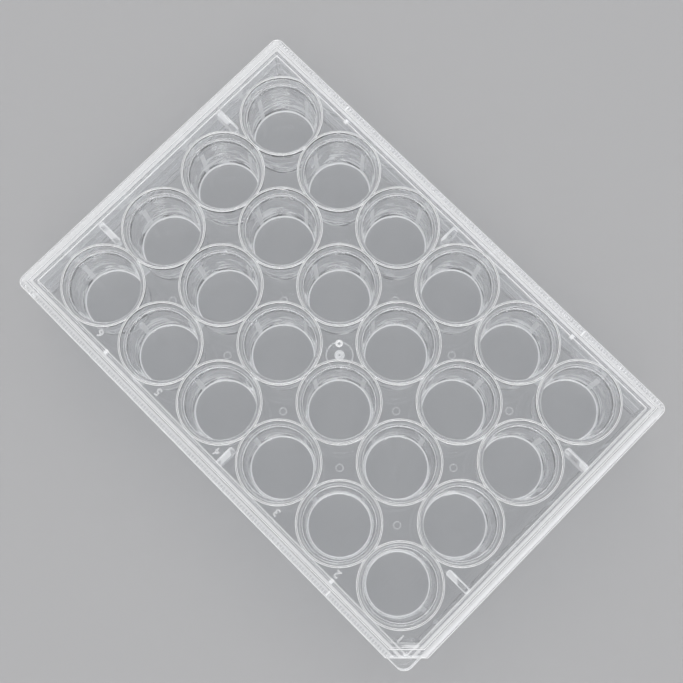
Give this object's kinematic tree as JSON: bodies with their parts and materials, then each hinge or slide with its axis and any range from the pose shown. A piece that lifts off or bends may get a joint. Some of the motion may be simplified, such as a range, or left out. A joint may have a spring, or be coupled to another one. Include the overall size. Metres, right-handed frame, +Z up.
{
  "type": "well plate",
  "caption": "Clear lidded culture plate: a rectangular tray of flat-bottomed round wells joined by webs, under a ringed lid with one cut corner.",
  "frame": {"origin": "middle of the plate's footprint, on the surface it stands on", "axes": "+X along the length, from column 1 to column 6; +Y across the width, from row D to row A; +Z up, out of the wells' mouths"},
  "size_m": [0.1278, 0.0854, 0.0218],
  "materials": {
    "plate_polystyrene": "clear, polished, uncoloured polystyrene",
    "lid_polystyrene": "clear, polished, uncoloured polystyrene"
  },
  "bodies": {
    "root": {"plate": "plate_polystyrene", "lid": "lid_polystyrene"}
  },
  "joints": []
}
